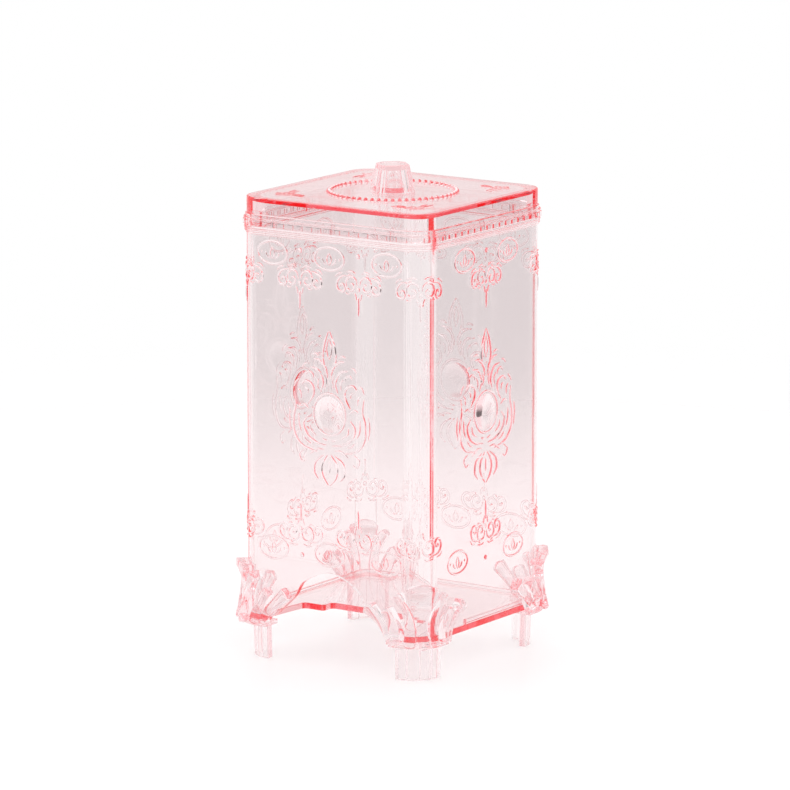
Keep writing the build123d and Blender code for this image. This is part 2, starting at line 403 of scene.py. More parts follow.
def medallion():
    o = ornament
    w, f, h, low = o["line"], o["fine"], o["high"], o["lowHigh"]
    right = [
        stroke([(0.2, 30.2), (2.3, 24.6), (2.7, 19.4), (0.4, 13.9)], w, h),
        stroke([(0.1, 27.4), (1.1, 23.6), (0.1, 19.6)], o["hair"], low),
        stroke([(0.6, 12.8), (1.6, 16.6), (4.2, 19.1), (6.9, 19.5)], w, h),
        stroke([(3.9, 7.9), (2.7, 11.4), (4.6, 15.4), (8.4, 16.4)], w, h),
        stroke([(6.9, 12.3), (7.2, 14.0), (9.2, 14.6), (10.2, 13.3)], f, low),
        stroke([(9.4, 2.8), (6.9, 6.8), (7.4, 10.0), (10.4, 11.2), (12.2, 9.8)], w, h, (0.3, 0.7)),
        stroke([(9.4, 6.4), (9.4, 8.1), (10.7, 8.9)], f, low),
        stroke([(12.4, 4.2), (12.6, 6.8), (13.8, 8.2)], f, low),
        stroke([(8.9, 1.2), (11.0, 2.6), (12.9, 2.0)], f, low),
        stroke([(15.2, 7.0), (14.7, 2.2), (15.7, -2.4), (15.4, -7.6), (12.2, -12.0), (5.2, -14.0)], w, h),
        stroke([(9.2, -1.2), (11.3, -4.2), (9.6, -8.2), (5.6, -10.6), (1.2, -11.3)], w, h),
        stroke([(13.5, -0.6), (13.3, -4.6), (12.2, -7.4)], f, low),
        stroke([(8.5, -4.0), (8.0, -6.4), (5.4, -8.3)], f, low),
        stroke([(2.0, 9.4), (1.4, 12.0), (2.2, 14.6)], f, low),
        stroke([(5.2, 9.0), (5.0, 11.6), (6.4, 13.6)], f, low),
        stroke([(4.2, 20.6), (5.8, 21.4), (7.6, 21.0)], f, low),
        stroke([(9.4, 17.6), (11.0, 17.2), (12.0, 15.8)], f, low),
        stroke([(13.2, 11.6), (14.6, 10.4), (15.4, 8.6)], f, low),
        stroke([(17.2, 1.0), (17.6, -3.0), (17.0, -7.6)], f, low),
        stroke([(3.0, -8.9), (1.8, -9.4), (0.6, -9.5)], f, low),
        stroke([(7.6, -11.4), (9.6, -10.6), (11.2, -9.0)], f, low),
        stroke([(10.8, -13.6), (13.2, -15.4), (12.0, -18.0), (10.4, -17.2)], f, low, (0.4, 0.6)),
        stroke([(2.2, -12.9), (5.4, -13.0), (8.6, -15.0)], f, low),
        stroke([(0.7, -14.4), (3.3, -18.4), (2.9, -22.4), (0.2, -25.8)], w, h),
        stroke([(2.3, -14.6), (6.0, -17.4), (6.6, -21.2), (4.7, -23.8)], w, h),
    ]
    stem = stroke([(0, -16.8), (0, -19.0), (0, -21.6)], medal["stem"], low)
    rim = ring(0, 0, *medal["rim"], medal["rimWide"], low)
    return bothSides(right) + [stem, rim, dome(0, 0, *medal["dome"], medal["domeHigh"])]


# embossed walls
wallForm = dict(straight=30.8, radius=9.2, wall=2.0, innerRadius=5.8, evenTo=26.0, foot=16.4, rim=161.3,
                cornerSteps=10)
collar = dict(courses=[(1.1, 0.5), (0.7, 1.1), (2.6, 0.75), (0.7, 1.0), (0.6, 0.8), (0.7, 0.8), (0.8, 0.3)],
              reedUnder=0.9, reedDip=0.14, overrun=0.5, slope=0.1,
              reed=((0.08, 1.0), (0.25, 0.3), (0.5, 0.0), (0.75, 0.3), (0.92, 1.0)),
              fascia=((0.04, 0.0), (0.96, 0.0)),
              dentilTop=159.0, dentilFoot=157.4, dentilWidth=2.3, dentilCount=9.5)
archOutline = [(24.0, 16.4), (15.4, 24.5), (11.0, 30.7), (0.0, 35.0)]
frontMarks = dict(ovals=[(0, 148.4), (24.4, 148.4), (0, 41.6), (24.2, 41.6)],
                  dots=[(12.4, 150.4), (11.8, 40.3)],
                  scrolls=[(12.6, 139.7, 1), (12.4, 48.8, -1)], heart=(92.6, 0.98), dentil=0.95)
sideMarks = dict(ovals=[(13.8, 148.0), (18.0, 40.0)], dots=[(0, 149.9), (0, 38.6)],
                 scrolls=[(0, 139.7, 1), (0, 48.8, -1)], heart=(91.6, 1.06), dentil=1.35)
cornerScrolls = [(139.7, 1), (48.8, -1)]
wallSpan = wallForm["straight"] + wallForm["radius"] * math.pi / 4  # from a wall's middle to its corner
hairGap = 1e-6


def onFace(face, x, y, up):
    c, s = round(math.cos(face * math.pi / 2)), round(math.sin(face * math.pi / 2))
    return np.column_stack([x * c - y * s, x * s + y * c, up])


def wrap(face, side, along, up, out):
    r, straight = wallForm["radius"], wallForm["straight"]
    turn = np.clip((along - straight) / r, 0, None)
    x = side * (np.minimum(along, straight) + (r + out) * np.sin(turn))
    return onFace(face, x, -straight - (r + out) * np.cos(turn), up)


def wrapInside(face, side, along, up):
    w = wallForm
    r, straight = w["innerRadius"], w["straight"] + w["radius"] - w["wall"] - w["innerRadius"]
    turn = np.clip((along - w["straight"]) / w["radius"], 0, None)
    level = np.minimum(along, w["straight"])
    level = np.interp(level, [0, w["evenTo"], w["straight"]], [0, w["evenTo"], straight])
    return onFace(face, side * (level + r * np.sin(turn)), -straight - r * np.cos(turn), up)


def faceMarks(spec):
    marks = []
    for x, z in spec["ovals"]:
        marks += shifted(ovalPlaque(), x, z)
    for x, z in spec["dots"]:
        marks.append(dome(x, z, ornament["dot"], ornament["dot"], ornament["dotHigh"]))
    for x, z, flip in spec["scrolls"]:
        marks += shifted(scrollPair(), x, z, flip)
    for z, flip in cornerScrolls:
        marks += shifted(scrollPair(), wallSpan, z, flip)
    marks += shifted(medallion(), 0, spec["heart"][0], stretch=spec["heart"][1])
    kept = []
    for m in marks:
        run = m["path"][:, 0] if m["kind"] == "stroke" else np.array([m["at"][0]])
        if run.max() > -hairGap and run.min() < wallSpan + hairGap:
            kept.append(m)
    return kept


def frameLines(foot, rim):
    r, n = wallForm["radius"], wallForm["cornerSteps"]
    stops = [0.0] + [wallForm["straight"] + r * math.pi / 4 * k / n for k in range(n + 1)]
    lines = [np.array([(s, foot), (s, rim)]) for s in stops]
    return stops, lines + [np.array([(s, z) for s in stops]) for z in (foot, rim)]


def archLine():
    path = pathThrough(archOutline + [(-x, z) for x, z in reversed(archOutline[:-1])])
    run = np.r_[0, np.cumsum(np.hypot(*np.diff(path, axis=0).T))]
    places = np.linspace(0, run[-1] / 2, len(path) // 2 + 1)
    half = np.column_stack([np.interp(places, run, path[:, 0]), np.interp(places, run, path[:, 1])])
    half[-1, 0] = 0.0
    half[0, 1] = wallForm["foot"]
    return half


def dentilBoxes():
    pitch, half = wallSpan / collar["dentilCount"], collar["dentilWidth"] / 2
    return [(k * pitch - half, k * pitch + half) for k in range(int(collar["dentilCount"]) + 1)]


def courseRows():
    c, z = collar, wallForm["rim"]
    rows = [(z, 0.0)]
    for high, out in c["courses"]:
        shares = c["reed"] if high < c["reedUnder"] else c["fascia"]
        rows += [(z - high * share, max(0.0, out - c["reedDip"] * drop)) for share, drop in shares]
        z -= high
    return rows + [(z, 0.0)]


def courseOut(points, dentilOut):
    c, edge = collar, embossing["flush"]
    rows = courseRows()[::-1]
    out = np.interp(points[:, 1], [z for z, o in rows], [o for z, o in rows], left=0.0)
    for a, b in dentilBoxes():
        inside = (points[:, 0] > a - edge) & (points[:, 0] < b + edge)
        inside &= (points[:, 1] > c["dentilFoot"] - edge) & (points[:, 1] < c["dentilTop"] + edge)
        out[inside] = dentilOut
    return out


def collarLines():
    c, over = collar, collar["overrun"]
    lines = [np.array([(-over, z), (wallSpan + over, z)]) for z, out in courseRows()[1:]]
    for a, b in dentilBoxes():
        for grow in (0.0, c["slope"]):
            west, east = a - grow, b + grow
            low, top = c["dentilFoot"] - grow, c["dentilTop"] + grow
            lines.append(np.array([(west, low), (east, low), (east, top), (west, top), (west, low)]))
    return lines


def wallSheet(spec, hasArch):
    w = wallForm
    stops, lines = frameLines(w["foot"], w["rim"])
    arch = archLine() if hasArch else None
    archLines = [arch] if hasArch else []
    marks = faceMarks(spec)
    points, tris = triangulate(lines + collarLines() + markLines(marks) + archLines)
    middle = points[tris].mean(1)
    keep = (middle[:, 0] > 0) & (middle[:, 0] < wallSpan)
    keep &= (middle[:, 1] > w["foot"]) & (middle[:, 1] < w["rim"])
    plain, plainTris = triangulate(lines + archLines)
    plainMiddle = plain[plainTris].mean(1)
    plainKeep = (plainMiddle[:, 0] > 0) & (plainMiddle[:, 0] < wallSpan)
    if hasArch:
        below = w["foot"] - 1
        outline = np.vstack([arch, [[0, arch[-1][1]], [0, below], [arch[0][0], below]]])
        keep &= ~insideOutline(middle, outline)
        plainKeep &= ~insideOutline(plainMiddle, outline)
    out = np.maximum(heights(points, marks), courseOut(points, spec["dentil"]))
    return dict(stops=stops, arch=arch, points=points, tris=tris[keep], out=out, plain=plain,
                plainTris=plainTris[plainKeep])


def sheetEdges(sheet):
    w, arch = wallForm, sheet["arch"]
    edges = [(np.array([[s, w["rim"]] for s in sheet["stops"]]), 1)]
    foot = [[s, w["foot"]] for s in sheet["stops"]]
    if arch is not None:
        foot = [[arch[0][0], w["foot"]]] + [f for f in foot if f[0] > arch[0][0]]
        edges.append((arch, 1))
    return edges + [(np.array(foot), -1)]


def buildWalls():
    sideSheet = wallSheet(sideMarks, False)
    sheets = [wallSheet(frontMarks, True), sideSheet, wallSheet(frontMarks, False), sideSheet]
    points, faces, flats = [], [], []
    flatTo = wallForm["straight"] + hairGap

    def add(rows, shapes, isFlat):
        start = len(points)
        points.extend(rows)
        faces.extend([[start + int(i) for i in f] for f in shapes])
        flats.extend(isFlat)

    for face, sheet in enumerate(sheets):
        for side in (1, -1):
            p, out, used = sheet["points"], sheet["out"], sheet["tris"]
            level = np.ptp(out[used], axis=1) < hairGap
            level &= p[used][:, :, 0].max(1) < flatTo
            add(wrap(face, side, p[:, 0], p[:, 1], out), used if side > 0 else used[:, ::-1], level)
            q, inner = sheet["plain"], sheet["plainTris"]
            level = q[inner][:, :, 0].max(1) < flatTo
            add(wrapInside(face, side, q[:, 0], q[:, 1]), inner[:, ::-1] if side > 0 else inner, level)
            for line, way in sheetEdges(sheet):
                n = len(line)
                rows = np.vstack([wrap(face, side, line[:, 0], line[:, 1], 0 * line[:, 0]),
                                  wrapInside(face, side, line[:, 0], line[:, 1])])
                quads = np.array([(i, i + 1, n + i + 1, n + i) for i in range(n - 1)])
                add(rows, quads if side * way > 0 else quads[:, ::-1], [False] * (n - 1))
    points, faces, flats = weld(points, faces, flats)
    print("walls:", len(faces), "faces,", openEdges(faces), "open edges")
    return meshObject("embossedWalls", points, faces, flats=flats)


walls = buildWalls()
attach(walls, "box")
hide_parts("body_shell")


# lid: plate with rounded edge, solid rim and lip, embossed top, beads and lip ribs
lidForm = dict(bottom=161.4, top=167.4, plate=2.0, round=0.5, roundSteps=7, soft=0.15, smooth=40.0,
               lipOut=2.4, lip=1.3, lipFoot=156.9, lipRadius=5.4, innerRadius=(4.1, 8.6, 4.1, 8.6),
               bandIn=21.5, bandOut=23.9, bandHigh=0.04, bandEase=0.15, bandSteps=96,
               bossFoot=5.55, bossTop=5.2, bossHigh=1.7, bossSteps=40, snap=0.06)
flower = dict(at=(28.0, 27.2), petals=5, petal=(3.9, 1.25), belly=0.6, root=(0.9, 0.1), eye=0.55,
              line=0.4, high=0.1, leafWide=1.3, leafHigh=0.25, budWide=0.9, budHigh=0.2)
beads = dict(ringRadius=22.7, beadRadius=1.0, beadCount=58, lift=167.2, squeeze=(1.15, 1.15, 0.8),
             ringSteps=256, ballLevel=3)
lipRibs = dict(width=1.2, deep=2.7, high=3.3, spacing=25.0, perSide=3, face=37.85, foot=156.95)


def outlineRing(step, radius=None):  # rounded square, step out from the walls
    n, ringPoints = wallForm["cornerSteps"] * 2, []
    radii = radius if isinstance(radius, tuple) else (radius or wallForm["radius"] + step,) * 4
    for corner, r in enumerate(radii):
        straight = wallForm["straight"] + wallForm["radius"] + step - r
        cx, cy = [(1, -1), (1, 1), (-1, 1), (-1, -1)][corner]
        for k in range(n + 1):
            turn = math.radians(-90 + 90 * corner + 90 * k / n)
            ringPoints.append((cx * straight + r * math.cos(turn), cy * straight + r * math.sin(turn)))
    return np.array(ringPoints)


def lidProfile():
    l = lidForm
    s, r, under = l["soft"], l["round"], l["top"] - l["plate"]
    turns = np.linspace(0, math.pi / 2, l["roundSteps"])
    arc = [(-r + r * math.sin(a), l["top"] - r + r * math.cos(a)) for a in turns]
    lipIn, outer, inner = l["lipOut"] + l["lip"], l["lipRadius"], l["innerRadius"]
    eased = tuple(radius + s for radius in inner)
    edge = [(step, z, None) for step, z in arc + [(0, l["bottom"] + s), (-s, l["bottom"])]]
    lip = [(-l["lipOut"], l["bottom"], outer), (-l["lipOut"], l["lipFoot"] + s, outer),
           (-l["lipOut"] - s, l["lipFoot"], outer - s), (-lipIn + s, l["lipFoot"], eased),
           (-lipIn, l["lipFoot"] + s, inner), (-lipIn, under, inner)]
    return edge + lip


def flowerMarks():
    w, marks = flower, []
    (length, half), (near, slip) = w["petal"], w["root"]
    belly = length * w["belly"]
    loop = [(near, -slip), (belly, -half), (length, 0.0), (belly, half), (near, slip)]
    for k in range(w["petals"]):
        c, n = math.cos(2 * math.pi * k / w["petals"]), math.sin(2 * math.pi * k / w["petals"])
        petal = [(x * c - y * n, x * n + y * c) for x, y in loop]
        marks.append(stroke(petal, w["line"], w["high"], (0.8, 0.8)))
    marks.append(ring(0, 0, w["eye"], w["eye"], w["line"], w["high"]))
    leaf = [stroke([(-3.6, 0.4), (-6.0, 1.3), (-9.4, 1.6)], w["leafWide"], w["leafHigh"], (0.3, 0.15)),
            stroke([(-3.9, -0.6), (-6.4, -0.9), (-8.6, -0.4)], w["budWide"], w["budHigh"])]
    turned = [dict(m, path=m["path"][:, ::-1]) for m in leaf]
    return marks + leaf + turned


def lidTop(rim):
    l, marks = lidForm, []
    for sx in (1, -1):
        for sy in (1, -1):
            marks += shifted(flowerMarks(), sx * flower["at"][0], sy * flower["at"][1], flip=sy, mirror=sx)
    circles = [(l["bandIn"] - l["bandEase"], 0), (l["bandIn"], l["bandHigh"]), (l["bandOut"], l["bandHigh"]),
               (l["bandOut"] + l["bandEase"], 0), (l["bossFoot"], 0), (l["bossTop"], l["bossHigh"])]
    lines = [np.vstack([rim, rim[:1]])]
    for radius, rise in circles:
        t = np.linspace(0, 2 * math.pi, 1 + l["bandSteps" if radius > l["bossFoot"] else "bossSteps"])
        lines.append(np.column_stack([radius * np.cos(t), radius * np.sin(t)]))
    flat, tris = triangulate(lines + markLines(marks))
    away = np.hypot(flat[:, 0], flat[:, 1])
    band = np.interp(away, *zip(*sorted(circles)))
    for radius, rise in circles:
        band[np.abs(away - radius) < l["snap"]] = rise
    high = np.maximum(heights(flat, marks), band)
    rows = [(x, y, l["top"] + h) for (x, y), h in zip(flat, high)]
    return rows, tris, np.ptp(high[tris], axis=1) < hairGap


def buildLid():
    profile = lidProfile()
    points, faces = [], []
    for step, z, radius in profile:
        points += [(x, y, z) for x, y in outlineRing(step, radius)]
    n = len(points) // len(profile)
    for a in range(0, n * (len(profile) - 1), n):
        faces += [[a + i, a + n + i, a + n + (i + 1) % n, a + (i + 1) % n] for i in range(n)]
    flats = [False] * len(faces)
    rows, tris, level = lidTop(outlineRing(profile[0][0]))
    faces += [[len(points) + int(i) for i in f] for f in tris]
    flats += list(level)
    points += rows
    step, under, radius = profile[-1]
    hollow = outlineRing(step, radius)
    flat, tris = triangulate([np.vstack([hollow, hollow[:1]])])
    faces += [[len(points) + int(i) for i in f[::-1]] for f in tris]
    flats += [True] * len(tris)
    points += [(x, y, under) for x, y in flat]
    points, faces, flats = weld(points, faces, flats)
    print("lid:", len(faces), "faces,", openEdges(faces), "open edges")
    return meshObject("embossedLid", points, faces, flats=flats)


def nodeTree(name, inputs):
    tree = bpy.data.node_groups.new(name, "GeometryNodeTree")
    tree.interface.new_socket("Geometry", in_out="INPUT", socket_type="NodeSocketGeometry")
    for label, kind in inputs:
        tree.interface.new_socket(label, in_out="INPUT", socket_type="NodeSocket" + kind)
    tree.interface.new_socket("Geometry", in_out="OUTPUT", socket_type="NodeSocketGeometry")
    return tree, tree.nodes.new("NodeGroupInput").outputs, tree.nodes.new("NodeGroupOutput")


def joined(tree, *pairs):
    for a, b in pairs:
        tree.links.new(a, b)


def beadRing(tree, given):  # squeezed balls round a circle
    add = tree.nodes.new
    circle, spots = add("GeometryNodeCurvePrimitiveCircle"), add("GeometryNodeCurveToPoints")
    bead, onRing = add("GeometryNodeMeshIcoSphere"), add("GeometryNodeInstanceOnPoints")
    raised, up = add("GeometryNodeTransform"), add("ShaderNodeCombineXYZ")
    circle.inputs["Resolution"].default_value = beads["ringSteps"]
    bead.inputs["Subdivisions"].default_value = beads["ballLevel"]
    joined(tree, (given["Ring Radius"], circle.inputs["Radius"]),
           (given["Bead Radius"], bead.inputs["Radius"]),
           (circle.outputs["Curve"], spots.inputs["Curve"]), (given["Bead Count"], spots.inputs["Count"]),
           (spots.outputs["Points"], onRing.inputs["Points"]),
           (spots.outputs["Rotation"], onRing.inputs["Rotation"]),
           (given["Bead Squeeze"], onRing.inputs["Scale"]), (bead.outputs["Mesh"], onRing.inputs["Instance"]),
           (onRing.outputs["Instances"], raised.inputs["Geometry"]), (given["Bead Lift"], up.inputs["Z"]),
           (up.outputs[0], raised.inputs["Translation"]))
    return raised.outputs["Geometry"]


def ribRows(tree, given):  # three ribs on each side of the lip
    add = tree.nodes.new
    rib, row = add("GeometryNodeMeshCube"), add("GeometryNodeMeshLine")
    onRow, placed = add("GeometryNodeInstanceOnPoints"), add("GeometryNodeTransform")
    gap, start = add("ShaderNodeCombineXYZ"), add("ShaderNodeVectorMath")
    sides = add("GeometryNodeJoinGeometry")
    row.inputs["Count"].default_value = lipRibs["perSide"]
    start.operation = "SCALE"
    start.inputs["Scale"].default_value = -1.0
    joined(tree, (given["Rib Size"], rib.inputs["Size"]), (given["Rib Spacing"], gap.inputs["X"]),
           (gap.outputs[0], row.inputs["Offset"]), (gap.outputs[0], start.inputs[0]),
           (start.outputs[0], row.inputs["Start Location"]), (row.outputs["Mesh"], onRow.inputs["Points"]),
           (rib.outputs["Mesh"], onRow.inputs["Instance"]),
           (onRow.outputs["Instances"], placed.inputs["Geometry"]),
           (given["Rib Place"], placed.inputs["Translation"]))
    for quarter in range(4):
        turned = add("GeometryNodeTransform")
        turned.inputs["Rotation"].default_value = (0, 0, quarter * math.pi / 2)
        joined(tree, (placed.outputs["Geometry"], turned.inputs["Geometry"]),
               (turned.outputs["Geometry"], sides.inputs["Geometry"]))
    return sides.outputs["Geometry"]


def lidTree():
    inputs = [("Ring Radius", "Float"), ("Bead Radius", "Float"), ("Bead Count", "Int"),
              ("Bead Lift", "Float"), ("Bead Squeeze", "Vector"), ("Rib Size", "Vector"),
              ("Rib Spacing", "Float"), ("Rib Place", "Vector"), ("Plastic", "Material")]
    tree, given, made = nodeTree("beadsAndRibs", inputs)
    add = tree.nodes.new
    both, loose = add("GeometryNodeJoinGeometry"), add("GeometryNodeRealizeInstances")
    union, real = add("GeometryNodeMeshBoolean"), add("GeometryNodeRealizeInstances")
    dress = add("GeometryNodeSetMaterial")
    union.operation, union.solver = "UNION", "MANIFOLD"
    joined(tree, (beadRing(tree, given), both.inputs["Geometry"]),
           (ribRows(tree, given), both.inputs["Geometry"]),
           (both.outputs["Geometry"], loose.inputs["Geometry"]),
           (loose.outputs["Geometry"], union.inputs["Mesh 2"]),
           (given["Geometry"], union.inputs["Mesh 2"]), (union.outputs["Mesh"], real.inputs["Geometry"]),
           (real.outputs["Geometry"], dress.inputs["Geometry"]), (given["Plastic"], dress.inputs["Material"]),
           (dress.outputs["Geometry"], made.inputs[0]))
    return tree


def applyTree(thing, tree, values):
    modifier = thing.modifiers.new(tree.name, "NODES")
    modifier.node_group = tree
    for item in tree.interface.items_tree:
        if item.in_out == "INPUT" and item.name in values:
            modifier[item.identifier] = values[item.name]
    return freeze(thing)


def finishLid():
    lid, b, r = buildLid(), beads, lipRibs
    place = [0.0, r["deep"] / 2 - r["face"], r["foot"] + r["high"] / 2]
    values = {"Ring Radius": b["ringRadius"] * mm, "Bead Radius": b["beadRadius"] * mm,
              "Bead Count": b["beadCount"], "Bead Lift": b["lift"] * mm, "Bead Squeeze": list(b["squeeze"]),
              "Rib Size": [r["width"] * mm, r["deep"] * mm, r["high"] * mm],
              "Rib Spacing": r["spacing"] * mm, "Rib Place": [c * mm for c in place], "Plastic": plastic}
    applyTree(lid, lidTree(), values)
    flatsFirst(lid, lidForm["smooth"])
    print("lid with beads and ribs:", len(lid.data.polygons), "faces")
    return lid


lid = finishLid()
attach(lid, "lid")
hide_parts("lid_cover")


# floor plate: the CAD form with softened edges
softening = dict(bevel=0.18, segments=2, angle=28.0, smooth=50.0, merge=2e-6, dissolve=0.5)


def cadCopy(node, name):
    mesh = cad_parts[node].data.copy()
    mesh.name = name
    work = bmesh.new()
    work.from_mesh(mesh)
    bmesh.ops.remove_doubles(work, verts=work.verts, dist=softening["merge"])
    limit = math.radians(softening["dissolve"])
    bmesh.ops.dissolve_limit(work, angle_limit=limit, verts=work.verts, edges=work.edges)
    work.to_mesh(mesh)
    work.free()
    mesh.materials.clear()
    mesh.materials.append(plastic)
    return newObject(name, mesh)


def bevelled(node, name, body):
    thing = cadCopy(node, name)
    bevel = thing.modifiers.new("edge", "BEVEL")
    bevel.width, bevel.segments = softening["bevel"] * mm, softening["segments"]
    bevel.limit_method, bevel.angle_limit = "ANGLE", math.radians(softening["angle"])
    bevel.use_clamp_overlap = True
    freeze(thing)
    flatsFirst(thing, softening["smooth"])
    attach(thing, body)
    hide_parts(node)
    print(name, len(thing.data.polygons), "faces")


bevelled("base_plate", "floorPlate", "box")


# knob: four flats towards the lid's corners, a reeded arris between each two, hollow under
knobForm = dict(foot=167.5, high=9.8, base=17.3, top=12.6, flat=0.855, flatSteps=9,
                reeds=3, reedSteps=8, reedDepth=0.5, levels=(2.0, 4.0, 6.0), footEdge=0.12,
                round=0.6, roundTurns=(0.4, 0.8, 1.2, math.pi / 2), crown=0.35,
                mouth=12.6, draft=0.2, roof=7.8, smooth=42.0)


def knobRing(z, diameter, inner=False):
    k, rows = knobForm, []
    edge = math.acos(k["flat"])
    for corner in range(4):
        middle = math.pi / 4 + corner * math.pi / 2
        for share in np.linspace(-1, 1, k["flatSteps"]):
            a = middle + math.atan(share * math.tan(edge))
            rows.append((diameter / 2 * k["flat"] / math.cos(a - middle), a))
        for step in range(1, k["reedSteps"] * k["reeds"]):
            q = step / k["reedSteps"]
            a = middle + edge + (math.pi / 2 - 2 * edge) * q / k["reeds"]
            rows.append((diameter / 2 - k["reedDepth"] * (1 - abs(math.sin(math.pi * q))), a))
    if inner:
        rows = [(diameter / 2, a) for r, a in rows]
    return [(r * math.cos(a), r * math.sin(a), z) for r, a in rows]


def buildKnob():
    k = knobForm
    rings = [(0.0, k["base"], False), (k["footEdge"], k["base"], False)]
    for z in k["levels"] + (k["high"] - k["round"],):
        rings.append((z, k["base"] + (k["top"] - k["base"]) * z / k["high"], False))
    for a in k["roundTurns"]:
        z = k["high"] - k["round"] * (1 - math.sin(a))
        rings.append((z, k["top"] + k["crown"] - 2 * k["round"] * (1 - math.cos(a)), False))
    hollow = [(k["roof"], k["mouth"] - 2 * k["draft"] * k["roof"], True), (0.0, k["mouth"], True)]
    points, faces, starts = [], [], []
    for z, diameter, inner in rings + hollow:
        starts.append(len(points))
        points += knobRing(k["foot"] + z, diameter, inner)
    n, outer = len(points) // len(starts), len(rings)
    pairs = list(zip(starts[:outer], starts[1:outer])) + [(starts[-2], starts[-1]), (starts[-1], starts[0])]
    for a, b in pairs:
        faces += [[a + i, a + (i + 1) % n, b + (i + 1) % n, b + i] for i in range(n)]
    faces.append([starts[outer - 1] + i for i in range(n)])
    faces.append([starts[outer] + i for i in reversed(range(n))])
    thing = meshObject("reededKnob", points, faces)
    flatsFirst(thing, k["smooth"])
    print("knob:", len(faces), "faces,", openEdges(faces), "open edges")
    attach(thing, "lid")
    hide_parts("lid_knob")


buildKnob()


# feet: seven leaves round the corner, flange, faceted quarter-round leg
footForm = dict(heel=13.3, seam=0.1, smooth=38.0,
                flangeFoot=12.3, flangeTop=14.0, flangeEnd=26.5, flangeInner=34.7, flangeOut=2.0,
                flangeSteps=17,
                legTop=12.35, legCentre=27.8, legRadius=11.7, legFootRadius=11.3, legThick=2.8, legFacets=4,
                grooveWide=0.6, grooveDeep=0.4, upright=8.0)
leafForm = dict(edge=0.9, edgeDrop=0.35, tipDrop=0.35, back=-2.2, acrossSteps=13, alongSteps=26, nudge=0.01,
                endTurns=(0.35, 0.7, 1.1, 1.45))
leaves = [
    dict(run=0.0, spine=[(0, 0), (0, 9.5), (0, 18.6)],
         widths=(5.6, 8.6, 13.8), crown=2.4, outs=(4.0, 2.0, 4.6), swell=0.0),
    dict(run=5.0, spine=[(-2.2, 0.2), (-1.4, 9.5), (2.4, 17.0)],
         widths=(4.6, 3.8, 3.4), crown=1.2, outs=(4.0, 2.6, 3.9), swell=0.5),
    dict(run=9.6, spine=[(-2.2, 0.4), (-0.6, 6.0), (2.2, 11.2)],
         widths=(4.6, 4.8, 4.0), crown=1.2, outs=(3.8, 2.8, 3.6), swell=0.5),
    dict(run=13.2, spine=[(-3.4, 0.9), (1.0, 6.4), (6.8, 11.6)],
         widths=(4.8, 3.8, 4.8), crown=1.0, outs=(3.2, 2.2, 3.2), swell=0.5),
]


def through(values, t):  # smooth run through three values at 0, 1/2 and 1
    a, b, c = (np.array(v, float) for v in values)
    return a + (-3 * a + 4 * b - c) * t + (2 * a - 4 * b + 2 * c) * t * t


def leafPlace(leaf, y, z, x, out, mirrored):  # y along the wall, x out of it, z up the leaf
    r, corner = wallForm["radius"], wallForm["straight"]
    turn = math.pi / 4 + min(r * math.pi / 4, leaf["run"]) / r
    beyond = max(0.0, leaf["run"] - r * math.pi / 4)
    bend = 0.0 if leaf["run"] else y / (r + out)
    flat = beyond + y if leaf["run"] else 0.0
    east = corner + (math.cos(turn + bend) * (r + x) - math.sin(turn) * flat)
    north = corner + (math.sin(turn + bend) * (r + x) + math.cos(turn) * flat)
    up = footForm["heel"] + leaf["crown"] / 2 + z
    return (north, east, up) if mirrored else (east, north, up)


def leafMesh(leaf, mirrored):
    f = leafForm
    across = np.r_[-1.0, np.linspace(-f["edge"], f["edge"], f["acrossSteps"]), 1.0]
    rows = [(0.0, -math.sin(a), math.cos(a)) for a in reversed(f["endTurns"])]
    rows += [(t, 0.0, 1.0) for t in np.linspace(0, 1, f["alongSteps"])]
    rows += [(1.0, math.sin(a), math.cos(a)) for a in f["endTurns"]]
    front, back = [], []
    for t, past, share in rows:
        at = through(leaf["spine"], t)
        ahead = through(leaf["spine"], t + f["nudge"]) - through(leaf["spine"], t - f["nudge"])
        ahead /= np.hypot(*ahead)
        side = np.array([-ahead[1], ahead[0]])
        half = through(leaf["widths"], t) / 2 * share
        out = through(leaf["outs"], t) - f["tipDrop"] * past * past
        for v in across:
            y, z = at + ahead * past * leaf["crown"] + side * half * v
            rise = leaf["swell"] * (1 - (v / f["edge"]) ** 2) * share if abs(v) < 1 else -f["edgeDrop"]
            front.append(leafPlace(leaf, y, z, out + rise, out, mirrored))
            back.append(leafPlace(leaf, y, z, f["back"], out, mirrored))
    m, n = len(rows), len(across)
    count, faces = m * n, []
    for i in range(m - 1):
        for j in range(n - 1):
            a = i * n + j
            quad = [a, a + 1, a + n + 1, a + n]
            faces += [quad, [count + c for c in (a, a + n, a + n + 1, a + 1)]]
    rim = list(range(n)) + [i * n + n - 1 for i in range(1, m)]
    rim += [(m - 1) * n + j for j in range(n - 2, -1, -1)] + [i * n for i in range(m - 2, 0, -1)]
    for a, b in zip(rim, rim[1:] + rim[:1]):
        faces.append([b, a, count + a, count + b])
    return front + back, faces


def loft(foot, top, low, high):
    n = len(foot)
    points = [(x, y, low) for x, y in foot] + [(x, y, high) for x, y in top]
    faces = [[i, (i + 1) % n, n + (i + 1) % n, n + i] for i in range(n)]
    return points, faces + [list(reversed(range(n))), list(range(n, 2 * n))]


def slab(line, low, high):
    return loft(line, line, low, high)


def flangeMesh():
    f, corner = footForm, wallForm["straight"]
    r, end, inner = wallForm["radius"] + f["flangeOut"], f["flangeEnd"], f["flangeInner"]
    out = corner + r
    line = [(out, end)]
    for a in np.linspace(0, math.pi / 2, f["flangeSteps"]):
        line.append((corner + r * math.cos(a), corner + r * math.sin(a)))
    line += [(end, out), (end, inner), (inner, inner), (inner, end)]
    return slab(line, f["flangeFoot"], f["flangeTop"])


